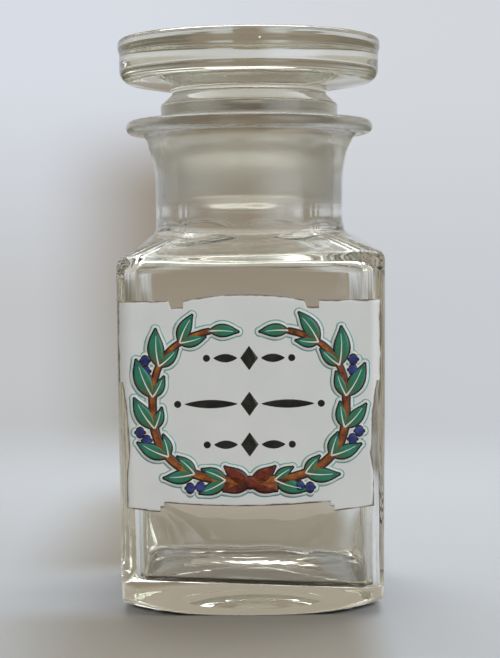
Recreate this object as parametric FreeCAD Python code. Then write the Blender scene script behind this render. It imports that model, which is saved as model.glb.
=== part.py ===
import FreeCAD, Part
import math
import os

# Square pharmacy bottle of blown glass with a ground disc stopper and a fired enamel label.
# Millimetres, +Z up. The origin is the middle of the base, on the surface the bottle stands on.
# The label is on the -Y face.

V = FreeCAD.Vector

# Bottle, outside
body_width = 65.0            # across the flats at the shoulder edge
base_width = 63.8            # across the flats at the base: the mould draws in downwards
corner_round = 4.0           # upright corners, in plan
shoulder_height = 86.7       # base to the edge where the shoulder starts
shoulder_rise = 6.4          # that edge to where the shoulder meets the neck
shoulder_round = 2.5         # soft edge between the faces and the shoulder
facet_half_angle = 37.5      # half of the neck's turn that each sloping face takes up, degrees
neck_diameter = 48.3
neck_length = 28.1           # shoulder to the flat top of the lip
neck_root_rise = 0.3         # how far the neck's foot stands above the shoulder
neck_root_reach = 2.0        # how far the foot spreads into the shoulder
neck_root_round = 2.0
neck_flare_drop = 12.2       # lip top to the middle of the neck's outward sweep
neck_flare = 2.6             # what the sweep adds to the neck's radius under the lip
neck_flare_round = 40.0
lip_diameter = 63.1
lip_thickness = 3.4
lip_edge_round = 1.6
full_round = 0.48            # largest share of an edge's thickness that each of its two rounds may take
lip_root_round = 2.5

# Heel and base
heel_flat_radius = 29.0      # the flat the bottle stands on
heel_sweep_round = 30.0      # upward sweep of the heel, which lifts the four corners
heel_edge_round = 1.5
kick_diameter = 36.0         # hollow under the base
kick_depth = 1.5

# Bottle, inside
wall = 3.0                   # at the faces
base_thickness = 7.2         # base to the inner floor
shoulder_wall = 3.5          # square to the slope
inner_corner_round = 6.0
floor_round = 3.0
inner_shoulder_round = 3.0

# Ground joint between the neck and the stopper
mouth_diameter = 45.1        # at the top of the lip
mouth_round = 0.8
ground_taper = 0.1           # change of diameter for each unit of length
ground_gap = 0.05            # running clearance, at the radius
ground_runout = 2.0          # ground wall below the plug
ground_cut = 0.25            # what grinding takes off the blown neck, at the radius

# Stopper
plug_depth = 20.2            # lip top to the plug's end
plug_end_round = 1.2
collar_height = 4.0          # lip top to the top edge of the cone
collar_round = 1.0
waist_diameter = 39.4
waist_start = 6.6            # lip top to the lower end of the waist
waist_round = 1.2
disc_diameter = 67.0
disc_height = 20.6           # lip top to the disc's top
disc_rim_start = 10.2        # lip top to the lower edge of the disc's rim
disc_underside_start = 7.8   # lip top to where the underside meets the waist
disc_widest = 3.0            # the disc's top down to its widest ring
disc_draft = 0.7             # what the rim's radius loses below that ring
disc_top_round = 2.2
disc_bottom_round = 4.5

# Enamel label on the front face, heights from the base; half widths count from its shifted middles
label_thickness = 0.4
label_top = 76.2
label_bottom = 25.4
label_shift = -0.4           # middle of the label's two sides, which were painted by hand
ear_half_width = 31.5        # the upper part runs round both corners
ear_bottom = 56.8
ear_step = 0.8
flank_height = 38.9          # where the label is narrowest
flank_half_width = 29.1
flank_sag = 0.4              # hollow of the side between the ear and the narrowest place
foot_height = 34.8
foot_half_width = 29.7
tab_shift = -1.2             # middle of the two tabs at the bottom
tab_inner = 20.9             # that middle to a tab's inner end
tab_depth = 2.2              # how far the tabs hang below the bottom edge
tab_step = 1.8
bottom_bow = 0.9             # downward bow of the bottom edge
crest_shift = -1.7           # middle of the arched crest
crest_half_width = 14.5
crest_rise = 1.4
notch_width = 3.5            # notches that set the crest apart from the ears
notch_depth = 1.6
notch_slant = 0.6            # lean of each notch's left wall

# Worked out from the sizes above
neck_radius = neck_diameter / 2
mouth_radius = mouth_diameter / 2
neck_root = shoulder_height + shoulder_rise
lip_height = neck_root + neck_length
shoulder_slope = math.atan2(shoulder_rise, body_width / 2 - neck_radius)
plug_end = lip_height - plug_depth
ground_end = plug_end - ground_runout


def ground_radius(height):
    """Radius of the neck's ground wall at a height above the base."""
    return mouth_radius - ground_taper / 2 * (lip_height - height)


bore_radius = ground_radius(ground_end) - ground_cut


def rounded_loop(corners):
    """Closed wire through (x, z, round) corners in the XZ plane, with a tangent arc at each round."""
    starts = []
    ends = []
    arcs = []
    for index, (x, z, radius) in enumerate(corners):
        here = V(x, 0, z)
        before = corners[index - 1]
        after = corners[(index + 1) % len(corners)]
        back = (V(before[0], 0, before[1]) - here).normalize()
        ahead = (V(after[0], 0, after[1]) - here).normalize()
        half = back.getAngle(ahead) / 2
        trim = radius / math.tan(half)
        starts.append(here + back * trim)
        ends.append(here + ahead * trim)
        bisector = (back + ahead).normalize()
        crown = here + bisector * (radius / math.sin(half) - radius)
        arcs.append(Part.Arc(starts[-1], crown, ends[-1]).toShape() if radius else None)
    edges = []
    for index, arc in enumerate(arcs):
        if arc:
            edges.append(arc)
        edges.append(Part.makeLine(ends[index], starts[(index + 1) % len(corners)]))
    return Part.Wire(edges)


def turned(corners):
    """Solid of revolution about Z from a half profile of (radius, height, round) corners."""
    return Part.Face(rounded_loop(corners)).revolve(V(0, 0, 0), V(0, 0, 1), 360)


def quarter_turns(edges):
    """Wire of the edges of one quarter and their three copies round Z."""
    loop = []
    for quarter in range(4):
        for edge in edges:
            copy = edge.copy()
            copy.rotate(V(0, 0, 0), V(0, 0, 1), 90 * quarter)
            loop.append(copy)
    return Part.Wire(loop)


def square_section(half, corner, height):
    """Square with rounded corners: a straight side and a corner arc, four times."""
    flat = half - corner
    diagonal = flat + corner / math.sqrt(2)
    side = Part.makeLine(V(-flat, -half, height), V(flat, -half, height))
    arc = Part.Arc(V(flat, -half, height), V(diagonal, -diagonal, height), V(half, -flat, height))
    return quarter_turns([side, arc.toShape()])


def round_section(radius, height):
    """Circle cut into a wide arc below each sloping face and a narrow one at each corner."""
    def at(degrees):
        turn = math.radians(degrees)
        return V(radius * math.sin(turn), -radius * math.cos(turn), height)

    face = Part.Arc(at(-facet_half_angle), at(0), at(facet_half_angle))
    corner = Part.Arc(at(facet_half_angle), at(45), at(90 - facet_half_angle))
    return quarter_turns([face.toShape(), corner.toShape()])


def level_edges(shape, height):
    """Edges that lie wholly at one height."""
    flat = 1e-4
    return [edge for edge in shape.Edges
            if abs(edge.BoundBox.ZMin - height) < flat and abs(edge.BoundBox.ZMax - height) < flat]


def face_half(height):
    """Half width across the flats at a height, with the mould's draw."""
    return (base_width + (body_width - base_width) * height / shoulder_height) / 2


def shouldered_body(bottom, edge, root, inset, corner, root_radius):
    """Square body, set in from the outer faces, whose four sloping sides close to a circle."""
    return Part.makeLoft([square_section(face_half(bottom) - inset, corner, bottom),
                          square_section(face_half(edge) - inset, corner, edge),
                          round_section(root_radius, root)], True, True)


def neck_foot(radius, root):
    """Lower corners of a neck's profile: a small skirt that runs into the shoulder."""
    return [(0, shoulder_height - shoulder_wall, 0),
            (radius + neck_root_reach, shoulder_height - shoulder_wall, 0),
            (radius + neck_root_reach, root + neck_root_rise - neck_root_reach, 0),
            (radius, root + neck_root_rise, neck_root_round)]


def outer_neck():
    """Neck with its foot in the shoulder, its outward sweep and the flat lip."""
    lip_radius = lip_diameter / 2
    lip_underside = lip_height - lip_thickness
    edge_round = min(lip_edge_round, lip_thickness * full_round)
    return turned(neck_foot(neck_radius, neck_root)
                  + [(neck_radius, lip_height - neck_flare_drop, neck_flare_round),
                     (neck_radius + neck_flare, lip_underside, lip_root_round),
                     (lip_radius, lip_underside, edge_round),
                     (lip_radius, lip_height, edge_round),
                     (0, lip_height, 0)])


def heel_form():
    """Round block that leaves a flat to stand on and sweeps up under the corners."""
    edge = heel_flat_radius + heel_sweep_round
    start = V(heel_flat_radius, 0, 0)
    crown = V(heel_flat_radius + heel_sweep_round * math.sin(math.pi / 4), 0,
              heel_sweep_round * (1 - math.cos(math.pi / 4)))
    tip = V(edge, 0, heel_sweep_round)
    rim = V(edge, 0, lip_height)
    middle = V(0, 0, lip_height)
    outline = [Part.makeLine(V(0, 0, 0), start),
               Part.Arc(start, crown, tip).toShape(),
               Part.makeLine(tip, rim),
               Part.makeLine(rim, middle),
               Part.makeLine(middle, V(0, 0, 0))]
    return Part.Face(Part.Wire(outline)).revolve(V(0, 0, 0), V(0, 0, 1), 360)


def heel_edges(shape):
    """Edges where the swept heel meets the faces and corners."""
    return [edge for edge in shape.Edges
            if edge.BoundBox.ZMin > 0.01 and edge.BoundBox.ZMax < shoulder_height / 2]


def bottle_outside():
    """Body and shoulder with softened edges, the swept heel, and the neck."""
    body = shouldered_body(0, shoulder_height, neck_root, 0, corner_round, neck_radius)
    body = body.makeFillet(shoulder_round, level_edges(body, shoulder_height))
    body = body.common(heel_form())
    body = body.makeFillet(heel_edge_round, heel_edges(body))
    return body.fuse(outer_neck())


def cavity():
    """Room inside the bottle: the square body, its sloping roof and the neck with its ground mouth."""
    drop = shoulder_wall / math.cos(shoulder_slope)
    rise = math.tan(shoulder_slope)
    edge = shoulder_height + wall * rise - drop
    root = neck_root + (neck_radius - bore_radius) * rise - drop
    room = shouldered_body(base_thickness, edge, root, wall, inner_corner_round, bore_radius)
    room = room.makeFillet(floor_round, level_edges(room, base_thickness))
    room = room.makeFillet(inner_shoulder_round, level_edges(room, edge))
    above = lip_height + mouth_round
    bore = turned(neck_foot(bore_radius, root)
                  + [(bore_radius, ground_end, 0),
                     (ground_radius(ground_end), ground_end, 0),
                     (mouth_radius, lip_height, mouth_round),
                     (lip_diameter / 2, lip_height, 0),
                     (lip_diameter / 2, above, 0),
                     (0, above, 0)])
    return room.fuse(bore)


def kick():
    """Ball whose cap hollows the underside of the base."""
    radius = (kick_diameter ** 2 / 4 + kick_depth ** 2) / (2 * kick_depth)
    return Part.makeSphere(radius, V(0, 0, kick_depth - radius))


def bottle():
    """Blown glass shell: the outside less the room inside and the kick."""
    return bottle_outside().cut(cavity()).cut(kick()).removeSplitter()


def stopper():
    """Solid glass stopper: ground plug, collar, waist and a thick disc with rounded edges."""
    collar = lip_height + collar_height
    disc_radius = disc_diameter / 2
    return turned([(0, plug_end, 0),
                   (ground_radius(plug_end) - ground_gap, plug_end, plug_end_round),
                   (ground_radius(collar) - ground_gap, collar, collar_round),
                   (waist_diameter / 2, lip_height + waist_start, waist_round),
                   (waist_diameter / 2, lip_height + disc_underside_start, waist_round),
                   (disc_radius - disc_draft, lip_height + disc_rim_start, disc_bottom_round),
                   (disc_radius, lip_height + disc_height - disc_widest, 0),
                   (disc_radius, lip_height + disc_height, disc_top_round),
                   (0, lip_height + disc_height, 0)])


def label_side(side):
    """Edges down one side of the label, from the crest's end round the ear to the bottom edge."""
    notch_outer = crest_half_width + notch_width
    notch_floor = label_top - notch_depth
    inner_lean, outer_lean = (notch_slant, 0) if side > 0 else (0, notch_slant)
    notch = [(crest_half_width, label_top),
             (crest_half_width + inner_lean, notch_floor),
             (notch_outer - outer_lean, notch_floor),
             (notch_outer, label_top)]
    ear_waist = ear_half_width - ear_step
    ear = [(ear_half_width, label_top),
           (ear_half_width, ear_bottom),
           (ear_waist, ear_bottom)]
    foot = [(flank_half_width, flank_height),
            (foot_half_width, foot_height),
            (foot_half_width, label_bottom)]
    stair = tab_step / 2
    landing = label_bottom + tab_depth / 2
    tab = [(tab_inner, label_bottom),
           (tab_inner, landing),
           (tab_inner - stair, landing),
           (tab_inner - stair, label_bottom + tab_depth),
           (tab_inner - tab_step, label_bottom + tab_depth)]
    hollow = ((ear_waist + flank_half_width) / 2 - flank_sag, (ear_bottom + flank_height) / 2)

    def placed(points, shift):
        return [V(shift + side * x, 0, z) for x, z in points]

    upper = placed(notch, crest_shift) + placed(ear, label_shift)
    lower = placed(foot, label_shift) + placed(tab, tab_shift)
    flank = Part.Arc(upper[-1], placed([hollow], label_shift)[0], lower[0]).toShape()
    return Part.makePolygon(upper).Edges + [flank] + Part.makePolygon(lower).Edges


def label_outline():
    """Edge of the label seen from the front: two ears, the crest, drawn-in sides and two tabs."""
    left = label_side(-1)
    right = label_side(1)
    crest = Part.Arc(left[0].Vertexes[0].Point, V(crest_shift, 0, label_top + crest_rise),
                     right[0].Vertexes[0].Point)
    bow = Part.Arc(left[-1].Vertexes[-1].Point, V(tab_shift, 0, label_bottom + tab_depth - bottom_bow),
                   right[-1].Vertexes[-1].Point)
    edges = left + right + [crest.toShape(), bow.toShape()]
    return Part.Wire(Part.__sortEdges__(edges))


def label():
    """Enamel skin on the front face and its two corners, cut to the label's outline."""
    def faces(grow):
        return Part.makeLoft([square_section(face_half(height) + grow, corner_round + grow, height)
                              for height in (0, shoulder_height)], True, True)

    skin = faces(label_thickness).cut(faces(0))
    front = V(0, -body_width, 0)
    depth = body_width - base_width / 2 + corner_round
    outline = Part.Face(label_outline())
    outline.translate(front)
    return skin.common(outline.extrude(V(0, depth, 0)))


os.makedirs("parts", exist_ok=True)
for name, shape in (("bottle", bottle()), ("stopper", stopper()), ("label", label())):
    solid = shape.Solids[0]
    solid.exportStep("parts/" + name + ".step")
    print(name, len(shape.Solids), solid.isValid(), round(solid.Volume), solid.BoundBox)
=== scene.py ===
import math

import bpy
import numpy as np
from mathutils import Matrix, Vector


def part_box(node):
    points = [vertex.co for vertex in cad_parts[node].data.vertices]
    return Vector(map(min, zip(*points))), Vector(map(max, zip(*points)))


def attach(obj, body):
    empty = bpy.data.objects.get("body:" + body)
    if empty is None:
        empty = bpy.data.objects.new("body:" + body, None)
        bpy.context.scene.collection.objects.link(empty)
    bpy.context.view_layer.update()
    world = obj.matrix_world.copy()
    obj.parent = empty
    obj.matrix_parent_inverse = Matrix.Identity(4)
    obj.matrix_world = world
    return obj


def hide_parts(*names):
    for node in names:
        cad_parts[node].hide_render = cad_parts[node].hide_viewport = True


# Square pharmacy bottle of old moulded glass with a ground disc stopper and an enamel label.
# Shapes are worked out in millimetres, in the part's own frame, and go into the meshes in metres.
# +Z is up, the label faces -Y, and the origin is the middle of the base.

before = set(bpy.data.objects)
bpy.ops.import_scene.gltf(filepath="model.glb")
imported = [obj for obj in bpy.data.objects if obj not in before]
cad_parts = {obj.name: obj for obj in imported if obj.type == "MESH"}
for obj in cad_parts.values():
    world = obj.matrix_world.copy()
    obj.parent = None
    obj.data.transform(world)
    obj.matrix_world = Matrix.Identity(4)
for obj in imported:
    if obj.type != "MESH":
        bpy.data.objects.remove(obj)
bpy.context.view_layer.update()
MM = 0.001

_, bottle_high = (np.array(corner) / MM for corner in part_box("bottle"))
stopper_low, stopper_high = (np.array(corner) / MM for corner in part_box("stopper"))

# Bottle, outside
body_width = 65.0
base_width = 63.8
corner_round = 4.0
shoulder_height = 86.7
shoulder_rise = 6.4
shoulder_round = 2.5
facet_half_angle = 37.5
neck_radius = 24.15
neck_root_round = 2.4
neck_flare_drop = 12.2
neck_flare = 2.6
neck_flare_round = 40.0
lip_radius = 31.55
lip_thickness = 3.4
lip_edge_round = 1.6
lip_root_round = 2.5
lip_top = bottle_high[2]
neck_root = shoulder_height + shoulder_rise

# Shallow panels round the neck
panel_count = 9
panel_start = -7.5           # degrees from the front to an edge between two panels
panel_depth = 0.42
panel_top = lip_top - 5.6
panel_arch = 3.4             # how far a panel's corners end below the middle of its top
panel_foot = (neck_root + 1.0, neck_root + 3.0)
panel_runout = 1.2           # height over which a panel ends

# Heel and base
heel_flat_radius = 29.0
heel_sweep_round = 30.0
heel_edge_round = 1.5
kick_radius = 18.0
kick_depth = 1.5
kick_edge_round = 0.6

# Bottle, inside
wall = 3.0
floor_height = 7.2
shoulder_wall = 3.5
inner_corner_round = 3.0
floor_round = 1.6
inner_shoulder_round = 3.0
inner_root_round = 2.0

# Ground joint
mouth_radius = 22.55
mouth_round = 0.8
ground_taper = 0.05          # change of radius for each unit of length
ground_gap = 0.05
ground_runout = 2.0
ground_end_round = 0.1
mouth_bare = 0.3             # below the lip's top, where the grinding ends

# Stopper, heights from the lip's top
plug_end = stopper_low[2]
plug_end_round = 1.2
collar_height = 4.0
collar_round = 1.0
waist_radius = 19.7
waist_start = 6.6
waist_round = 1.2
disc_radius = stopper_high[0]
disc_top = stopper_high[2]
disc_rim_start = 9.9
disc_underside_start = 7.8
disc_bead = 0.38             # how far the rim swells towards the top
disc_bead_start = 3.8        # below the disc's top
disc_bead_full = 2.4
disc_bead_round = 3.0
disc_top_round = 1.9
disc_bottom_round = 3.5
ground_above_lip = 1.0
bubbles_in_disc = (((2.5, -27.0, 139.6), (0.45, 0.3, 0.25)),
                   ((-28.2, -8.0, 136.2), (0.5, 0.4, 0.3)),
                   ((-5.6, -22.0, 133.6), (0.35, 0.3, 0.3)),
                   ((1.6, -14.0, 127.6), (0.3, 0.3, 0.45)))     # middle and half sizes of each

# What moulding and grinding leave uneven
floor_lean = -0.043          # rise of the inner floor for each millimetre to the right
floor_lean_reach = 40.0      # height over which the lean of the floor dies away
floor_back_round = 22.0      # plan round of the floor's back corners, where glass has gathered
floor_fill = 14.0            # height over which it has gathered
room_shift_top = -0.25       # sideways place of the room inside, at the shoulder
room_shift_bottom = 1.0      # and at the floor
room_shift_end = (shoulder_height - 4.0, neck_root)     # heights over which the shift dies away
shoulder_lean = 0.02         # rise of the shoulder's edge for each millimetre to the right
outer_ripple = 0.07
inner_ripple = 0.22
long_ripple_pitch = 31.0
short_ripple_pitch = 13.0
long_ripple_share = 0.6
corner_streak = 0.05         # upright streaks in the inner corners
streaks_per_turn = 13
streak_sway = 9.0            # height for each radian of the streaks' sway
disc_ripple = 0.06
disc_ripple_pitch = 24.0
even_heel = (2.0, 8.0)       # heights over which the outside grows uneven
even_neck = (lip_top - 24.0, lip_top - 20.0)    # and over which both sides grow even again

# Matt, and shade painted into the glass's colour: how strong each is,
# # and the heights over which it sets in or ends
neck_matt = 0.45
neck_matt_start = (neck_root - 1.0, neck_root + 2.0)
joint_matt = 0.55
joint_matt_start = (plug_end - 2.5, plug_end - 0.5)
neck_shade = 0.17
neck_shade_start = (shoulder_height, neck_root + 4.0)
lip_shade = 0.66
lip_shade_start = (lip_top - 4.6, lip_top - 3.4)
floor_shade = 0.30
floor_shade_end = (floor_height, floor_height + 26.0)
floor_corner_shade = 1.6             # painted shade: a dark line where the floor meets the front wall
floor_corner_shade_end = (floor_height + 1.1, floor_height + 1.5)
floor_corner_shade_depth = (3.0 - base_width / 2, 9.0 - base_width / 2)     # and how far back it ends
plug_shade = 0.05
plug_lip_shade = 0.75
plug_end_shade = 0.45
plug_end_shade_end = (plug_end + 0.5, plug_end + 2.5)

# Enamel label
label_thickness = 0.4
label_rim = 0.14             # thickness left at the label's edge
label_pillow = 0.7           # width over which the edge rounds off
label_sunk = 0.15            # how deep the back lies in the glass
edge_share = 0.12            # share of the label's height over which its shaped edges even out
edge_wobble = 0.10
edge_wobble_pitch = 5.0
edge_wobble_share = 0.1      # share of the label's height over which the wobble dies away
edge_chip = 0.35             # how deep the upper left edge is chipped
chip_start = 18.0            # left of the middle
chip_full = 24.0
label_top = 76.2
label_bottom = 25.4
label_shift = -0.4           # middle of the label's two sides
ear_half_width = 31.5
ear_bottom = 56.8
ear_step = 0.8
flank_height = 38.9
flank_half_width = 29.1
flank_sag = 0.4
foot_height = 34.8
foot_half_width = 29.7
tab_shift = -1.2             # middle of the two tabs at the bottom
tab_inner = 20.9
tab_depth = 2.2
tab_step = 1.8
tab_lean = 0.1               # rise of a tab's lower edge for each millimetre outwards
bottom_bow = 0.9
crest_shift = -1.7           # middle of the arched crest
crest_half_width = 14.5
crest_rise = 1.4
notch_width = 3.5
notch_depth = 1.6
notch_slant = 0.6            # lean of each notch's left wall

# Wreath painted on the label
wreath_middle = np.array([-0.5, 51.2])
wreath_half = np.array([23.2, 18.4])
wreath_squareness = 2.6
stem_start = -101.0          # degrees from the right, where the right stem begins
stem_end = 72.0
stem_half_width = 1.0
stem_taper = 0.45            # share of the width left at the stem's tip
stem_drop = 1.6              # how far the stem's foot hangs down
stem_drop_end = -82.0        # degrees
stem_knots = ((0.10, 41.0), (0.06, 97.0))       # swelling, and radians of its wave along the stem
leaf_first = 12.5            # way along the stem to the first pair of leaves
leaf_pitch = 7.6
leaf_pairs = 7
leaf_length = 7.6
leaf_length_inner = 5.8
leaf_slimness = 0.19         # half width for each unit of length
leaf_fullness = 0.85         # power that brings a leaf's widest place before its middle
leaf_unevenness = 0.09
leaf_growth = 0.30           # how much longer the outer leaves grow at the wreath's upper corner
leaf_growth_place = 0.70     # share of the stem
leaf_growth_reach = 9.0
outer_splay = 0.66           # radians off the stem, and how far a leaf bends
outer_bend = 0.34
inner_splay = 0.60
inner_bend = -0.30
tip_share = 0.9              # length of the leaf at the tip against the others
tip_splay = 0.1
tip_bend = 0.25
vein_share = 0.82            # share of a leaf's length that its vein runs
vein_half_width = 0.20
vein_taper = 0.75
berry_radius = 1.05
berry_places = ((2.4, -2.4), (3.6, -0.2))       # out from the stem, and on along it
bow_drop = 0.4
loop_angle = 22.0
loop_length = 7.2
loop_half_width = 1.5
loop_bend = 0.35
tail_angle = 32.0
tail_length = 6.6
tail_half_width = 0.95
tail_bend = 0.5
knot_radius = 1.35
outline_width = 0.40
ground_width = 0.95          # white left round the painting
contour_width = 1.26         # and the fine line round that
paint_sunk = 0.05
PAINT_LIFTS = {"contour": 0.010, "ground": 0.016, "outline": 0.024, "colour": 0.034, "vein": 0.045}
LIFT_STEP = 0.00004          # keeps strokes that cross from lying in one plane

# Plain rules inside the wreath
rules = ((62.4, 8.5), (51.4, 15.5), (41.6, 8.5))        # height and half length of each
rule_gap = 2.9               # bare half length at the lozenge
rule_half_width = 0.95
rule_swell = 0.8             # power of the cosine along half a rule
rule_tip = 0.06
spot_gap = 1.7
spot_radius = 0.85
lozenge_half_height = 2.9
lozenge_half_width = 2.1
least_half_width = 0.03

# How fine the grids are
FLAT_COLUMNS = 40
CORNER_COLUMNS = 20
ROUND_COLUMNS = 192
MOUTH_ROWS = 8               # rows past the lip's edge that still count as outside
KICK_SHARES = np.linspace(0.12, 0.88, 6)        # shares of the way out, for rings between two keys
HEEL_SHARES = np.linspace(0.15, 0.85, 7)
FLOOR_SHARES = np.linspace(0.8, 0.1, 8)
LONGEST_TRIM = 0.49          # share of a run that a round may take up
HAIR = 0.02                  # spacing of two grid lines that make a sharp step
STROKE_COLUMNS = 7
CAP_SHARES = np.linspace(0.99, 0.15, 6)         # rows of a stroke's round end, from its tip
DOT_START = 0.06             # radians from a spot's end to its first row
LEAF_ROWS = 15
STEM_ROWS = 150
STEM_SAMPLES = 600
RULE_ROWS = 41
LOZENGE_ROWS = 21
LABEL_COLUMNS = 180
LABEL_ROWS = 140
BUBBLE_COLUMNS = 16
BUBBLE_ROWS = 10


def quarter_columns():
    """Directions of the columns in one quarter: along the straight side, then round the corner.

    reach is the place in a unit square, normal the way the square's edge faces,
    and circle the matching point of a unit circle."""
    side = np.linspace(-1, 1, FLAT_COLUMNS, endpoint=False)
    turn = np.linspace(0, 1, CORNER_COLUMNS, endpoint=False)
    corner = np.ones(CORNER_COLUMNS)
    reach = np.stack([np.concatenate([side, corner]), -np.ones(side.size + turn.size)], axis=1)
    heading = np.concatenate([np.zeros(FLAT_COLUMNS), turn * math.pi / 2]) - math.pi / 2
    facet = math.radians(facet_half_angle)
    around = np.concatenate([side * facet, facet + turn * (math.pi / 2 - 2 * facet)]) - math.pi / 2
    normal = np.stack([np.cos(heading), np.sin(heading)], axis=1)
    circle = np.stack([np.cos(around), np.sin(around)], axis=1)
    return reach, normal, circle


def all_round(quarter):
    """The four quarters of a column table, each a quarter turn on from the last."""
    turns = [quarter]
    for _ in range(3):
        x, y = turns[-1].T
        turns.append(np.stack([-y, x], axis=1))
    return np.concatenate(turns)


REACH, NORMAL, CIRCLE = (all_round(table) for table in quarter_columns())
ROUND = np.linspace(0, 2 * math.pi, ROUND_COLUMNS, endpoint=False)
ROUND_CIRCLE = np.stack([np.cos(ROUND), np.sin(ROUND)], axis=1)


def at_height(plan, height):
    """Ring of points from their plan and their height, which is one number or one for each point."""
    return np.column_stack([plan, np.broadcast_to(height, len(plan))])


def square_plan(half, corner):
    """Square with rounded corners: the square set in by the corner's round, plus that round."""
    return (half - corner) * REACH + corner * NORMAL


def face_half(height):
    """Half width across the flats at a height: it grows evenly from the base to the shoulder."""
    return (base_width + (body_width - base_width) * height / shoulder_height) / 2


def heel_rise(radius):
    """Height of the base at a radius: flat, then up along a circle."""
    out = np.maximum(radius - heel_flat_radius, 0)
    return heel_sweep_round - np.sqrt(heel_sweep_round ** 2 - out ** 2)


def ground_radius(height):
    """Radius of the ground taper at a height."""
    return mouth_radius - ground_taper * (lip_top - height)


def rounded_rows(keys):
    """Rows of a skin through key rings (ring, round, arc rows, run rows).

    Straight runs join ring to ring. At each ring an arc of its round joins the two runs: a
    quadratic curve that is pulled to the ring with the cosine of half the turn as its weight,
    which is a true circle. A round is cut down where its runs are too short."""
    rings = [key[0] for key in keys]
    starts = []
    ends = []
    weights = []
    for index, (ring, radius, _, _) in enumerate(keys):
        if radius == 0 or index in (0, len(keys) - 1):
            starts.append(ring)
            ends.append(ring)
            weights.append(None)
            continue
        back = rings[index - 1] - ring
        ahead = rings[index + 1] - ring
        back_length = np.linalg.norm(back, axis=1, keepdims=True)
        ahead_length = np.linalg.norm(ahead, axis=1, keepdims=True)
        back = back / back_length
        ahead = ahead / ahead_length
        half_turn = (math.pi - np.arccos(np.clip((back * ahead).sum(1, keepdims=True), -1, 1))) / 2
        longest = LONGEST_TRIM * np.minimum(back_length, ahead_length)
        trim = np.minimum(radius * np.tan(half_turn), longest)
        starts.append(ring + back * trim)
        ends.append(ring + ahead * trim)
        weights.append(np.cos(half_turn))
    rows = []
    for index, (ring, _, arc_rows, run_rows) in enumerate(keys):
        if weights[index] is None:
            rows.append(ring[None])
        else:
            step = np.linspace(0, 1, arc_rows)[:, None, None]
            near = (1 - step) ** 2
            middle = 2 * step * (1 - step) * weights[index]
            far = step ** 2
            rows.append((near * starts[index] + middle * ring + far * ends[index])
                        / (near + middle + far))
        if index + 1 < len(keys):
            step = np.linspace(0, 1, run_rows + 2)[1:-1, None, None]
            rows.append(ends[index] * (1 - step) + starts[index + 1] * step)
    return np.concatenate(rows)


def ripple(points, pitch, phase):
    """Slow unevenness from 0 to 1: three crossing sine waves of about that pitch, averaged."""
    x, y, z = np.moveaxis(points, -1, 0) * (2 * math.pi / pitch)
    waves = (np.sin(0.9 * x + 0.35 * z + phase) + np.sin(0.8 * y - 0.5 * z + 2.1 * phase)
             + np.sin(0.45 * x - 0.6 * y + 1.1 * z + 3.7 * phase))
    return 0.5 + waves / 6


def row_normals(rows):
    """Unit normals of a grid that closes across its columns: the slope along times the slope up."""
    along = np.roll(rows, -1, axis=1) - np.roll(rows, 1, axis=1)
    up = np.gradient(rows, axis=0)
    normal = np.cross(along, up)
    return normal / np.maximum(np.linalg.norm(normal, axis=2, keepdims=True), 1e-9)


def fade(value, start, end):
    """0 up to start and 1 from end on, with a smooth step between."""
    step = np.clip((value - start) / (end - start), 0, 1)
    return step * step * (3 - 2 * step)


def closed_skin(rows, first_pole, last_pole):
    """Points and faces of a closed skin: a grid that joins up across its columns, with a fan of
    triangles at each pole."""
    count, columns = rows.shape[:2]
    index = np.arange(count * columns).reshape(count, columns)
    right = np.roll(index, -1, axis=1)
    quads = np.stack([index[:-1], right[:-1], right[1:], index[1:]], axis=-1).reshape(-1, 4)
    poles = count * columns + np.arange(2)
    low = np.stack([np.full(columns, poles[0]), right[0], index[0]], axis=1)
    high = np.stack([np.full(columns, poles[1]), index[-1], right[-1]], axis=1)
    points = np.concatenate([rows.reshape(-1, 3), [first_pole, last_pole]])
    return points, quads, np.concatenate([low, high])


def plate(front, back):
    """Points and faces of a closed plate: a front grid, a back grid and a wall round their edge."""
    count, columns = front.shape[:2]
    face = np.arange(count * columns).reshape(count, columns)
    rear = face + count * columns
    front_quads = np.stack([face[:-1, :-1], face[:-1, 1:], face[1:, 1:], face[1:, :-1]], axis=-1)
    rear_quads = np.stack([rear[:-1, :-1], rear[1:, :-1], rear[1:, 1:], rear[:-1, 1:]], axis=-1)
    edge = np.concatenate([face[0, :-1], face[:-1, -1], face[-1, :0:-1], face[:0:-1, 0]])
    following = np.roll(edge, -1)
    shift = count * columns
    wall_quads = np.stack([following, edge, edge + shift, following + shift], axis=1)
    quads = np.concatenate([front_quads.reshape(-1, 4), rear_quads.reshape(-1, 4), wall_quads])
    points = np.concatenate([front.reshape(-1, 3), back.reshape(-1, 3)])
    return points, quads, np.zeros((0, 3), int)


def joined(shapes):
    """Several shapes as one: their points in a row, and their faces counted on."""
    points = [shape[0] for shape in shapes]
    starts = np.cumsum([0] + [len(part) for part in points[:-1]])
    quads = [shape[1] + start for shape, start in zip(shapes, starts)]
    triangles = [shape[2] + start for shape, start in zip(shapes, starts)]
    return np.concatenate(points), np.concatenate(quads), np.concatenate(triangles)


def make_piece(name, shape, material, body, marks):
    """Object with a shape's points and faces, a material, the body it belongs to, and
    marks: numbers for each point that its material reads."""
    points, quads, triangles = shape
    mesh = bpy.data.meshes.new(name)
    mesh.from_pydata((points * MM).tolist(), [], quads.tolist() + triangles.tolist())
    mesh.polygons.foreach_set("use_smooth", np.ones(len(mesh.polygons), bool))
    mesh.materials.append(material)
    for mark, values in marks.items():
        layer = mesh.attributes.new(mark, "FLOAT", "POINT")
        layer.data.foreach_set("value", np.asarray(values, dtype=np.float32))
    piece = bpy.data.objects.new(name, mesh)
    bpy.context.scene.collection.objects.link(piece)
    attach(piece, body)
    return piece


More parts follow.
